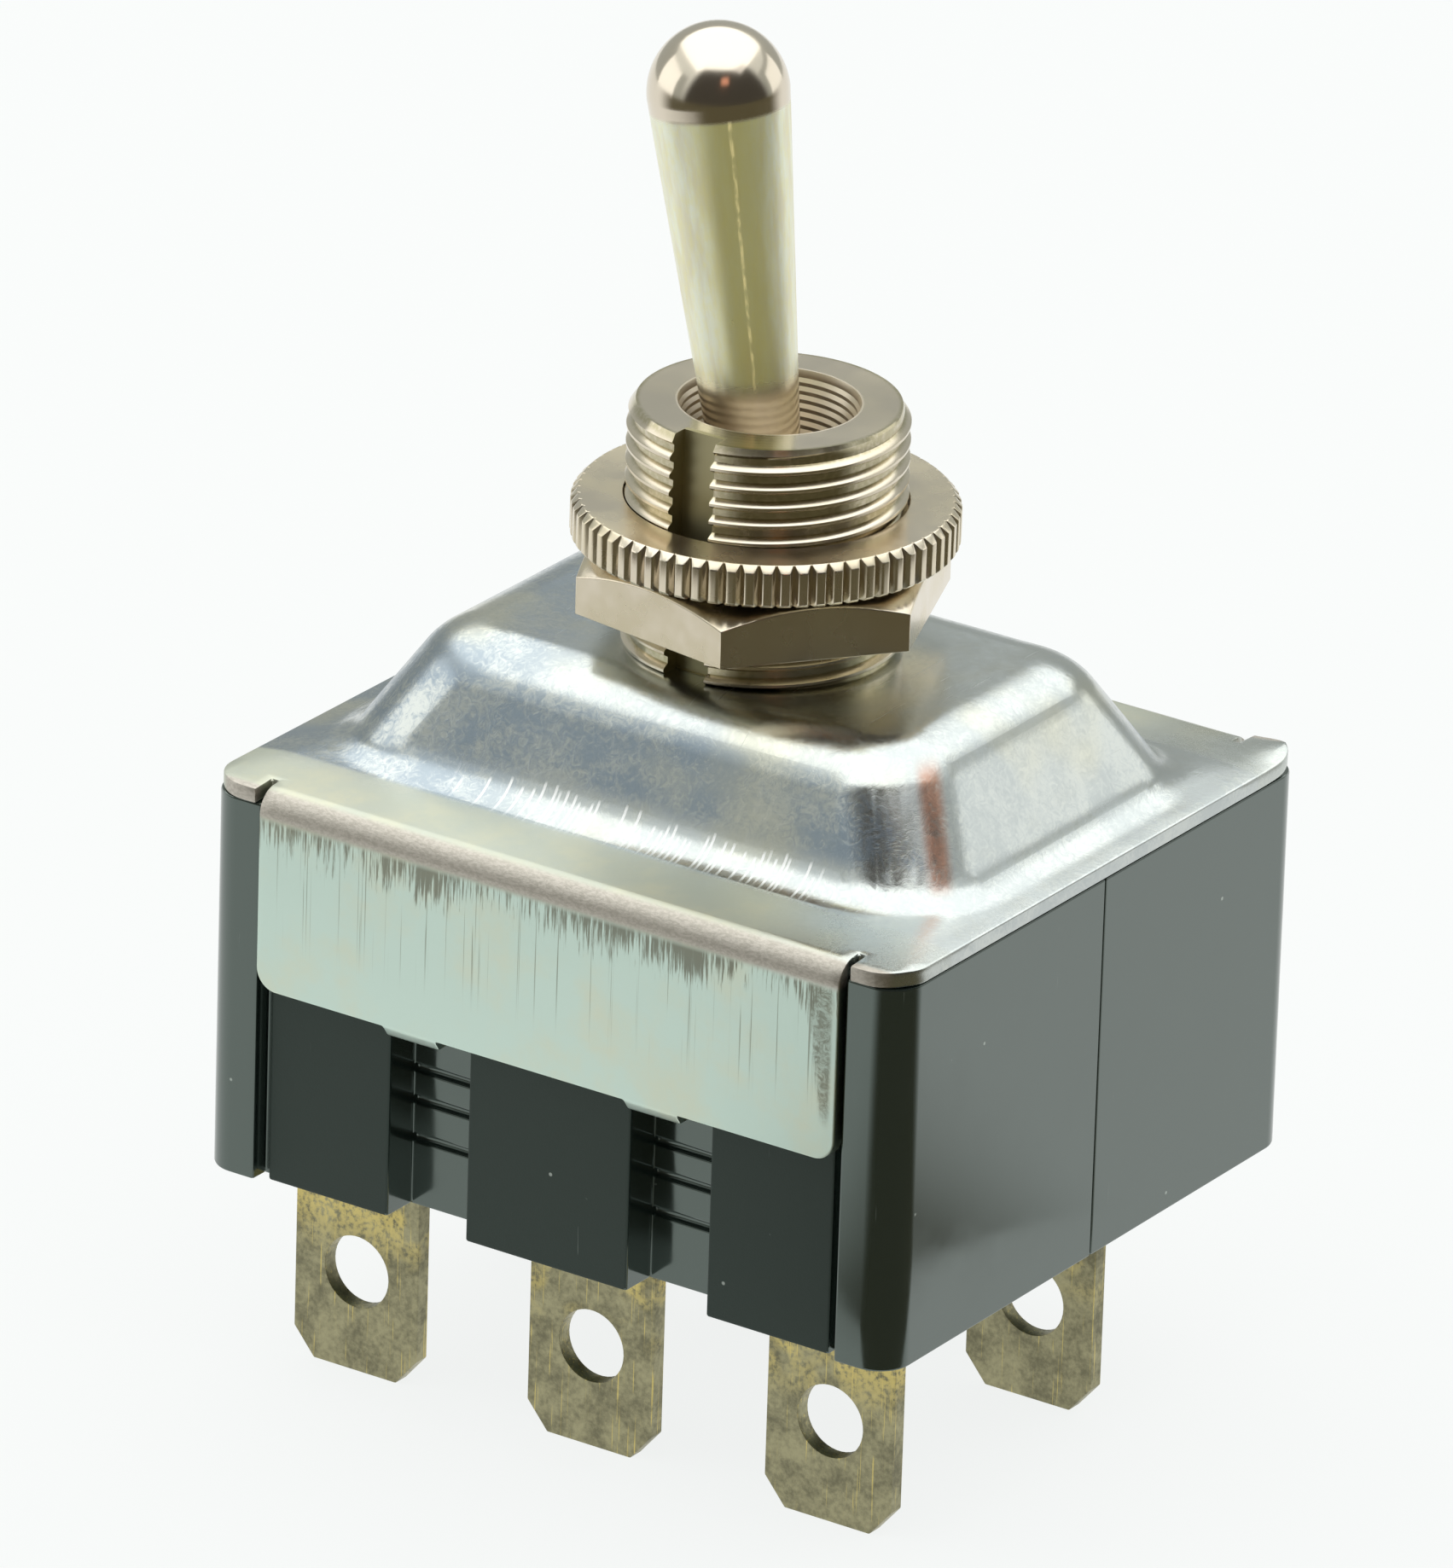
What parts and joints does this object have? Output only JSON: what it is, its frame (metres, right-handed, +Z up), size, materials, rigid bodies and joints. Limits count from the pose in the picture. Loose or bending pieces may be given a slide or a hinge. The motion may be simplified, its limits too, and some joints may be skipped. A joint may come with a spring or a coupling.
{
  "type": "on-off toggle switch",
  "caption": "Toggle switch with a bat lever in a threaded bushing, ring and hexagon nuts, a drawn steel cover over moulded pole housings, and flat blade terminals.",
  "frame": {"origin": "under the bushing's axis, at the tips of the blades", "axes": "+Z up along the bushing's axis, +X to the right along each row of blades, -Y to the front, where the keyway is"},
  "size_m": [0.035, 0.0312, 0.0599],
  "materials": {
    "nickel_brass": "nickel plated, bright turned",
    "zinc_steel": "zinc plated, drawn and scuffed",
    "phenolic": "moulded, glossy with matte pads",
    "blade_brass": "tarnished",
    "contact_brass": "stamped",
    "silver": "headed rivet",
    "steel": "drawn wire",
    "moulded_insulator": "moulded",
    "nylon": "turned"
  },
  "bodies": {
    "housing": {"cover": "zinc_steel", "bushing": "nickel_brass", "front_pole_module": "phenolic", "rear_pole_module": "phenolic", "front_left_blade": "blade_brass", "front_left_fixed_contact": "silver", "front_centre_blade": "blade_brass", "front_right_blade": "blade_brass", "front_right_fixed_contact": "silver", "rear_left_blade": "blade_brass", "rear_left_fixed_contact": "silver", "rear_centre_blade": "blade_brass", "rear_right_blade": "blade_brass", "rear_right_fixed_contact": "silver"},
    "lever": {"bat_lever": "nickel_brass", "lever_pin": "steel", "contact_carrier": "moulded_insulator", "front_plunger_spring": "steel", "rear_plunger_spring": "steel"},
    "front_plunger": {"front_plunger": "nylon"},
    "front_rocker": {"front_rocker": "contact_brass", "front_left_moving_contact": "silver", "front_right_moving_contact": "silver"},
    "rear_plunger": {"rear_plunger": "nylon"},
    "rear_rocker": {"rear_rocker": "contact_brass", "rear_left_moving_contact": "silver", "rear_right_moving_contact": "silver"},
    "hex_nut": {"hex_nut": "nickel_brass"},
    "ring_nut": {"knurled_ring_nut": "nickel_brass"}
  },
  "joints": [
    {"name": "lever_toggle", "type": "hinge", "parent": "housing", "child": "lever", "pos_m": [0, 0, 0.0373], "axis": [0, 1, 0], "range_deg": [0, 17.6]},
    {"name": "front_plunger_slide", "type": "slide", "parent": "lever", "child": "front_plunger", "axis": [-0.153, 0, 0.9882], "range_m": [0, 0.0008], "stiffness_N_per_m": 200, "springref_m": -0.002, "deforming": ["front_plunger_spring"]},
    {"name": "front_rocker_tilt", "type": "hinge", "parent": "housing", "child": "front_rocker", "pos_m": [0, -0.00765, 0.01664], "axis": [0, 1, 0], "range_deg": [-10, 0]},
    {"name": "rear_plunger_slide", "type": "slide", "parent": "lever", "child": "rear_plunger", "axis": [-0.153, 0, 0.9882], "range_m": [0, 0.0008], "stiffness_N_per_m": 200, "springref_m": -0.002, "deforming": ["rear_plunger_spring"]},
    {"name": "rear_rocker_tilt", "type": "hinge", "parent": "housing", "child": "rear_rocker", "pos_m": [0, 0.00765, 0.01664], "axis": [0, 1, 0], "range_deg": [-10, 0]},
    {"name": "hex_nut_turn", "type": "hinge", "parent": "housing", "child": "hex_nut", "pos_m": [0, 0, 0.03625], "axis": [0, 0, 1], "continuous": true},
    {"name": "ring_nut_turn", "type": "hinge", "parent": "housing", "child": "ring_nut", "pos_m": [0, 0, 0.03877], "axis": [0, 0, 1], "continuous": true}
  ],
  "couplings": [
    {"joint": "front_rocker_tilt", "follows": "lever_toggle", "ratio": -0.56818},
    {"joint": "rear_rocker_tilt", "follows": "lever_toggle", "ratio": -0.56818}
  ]
}
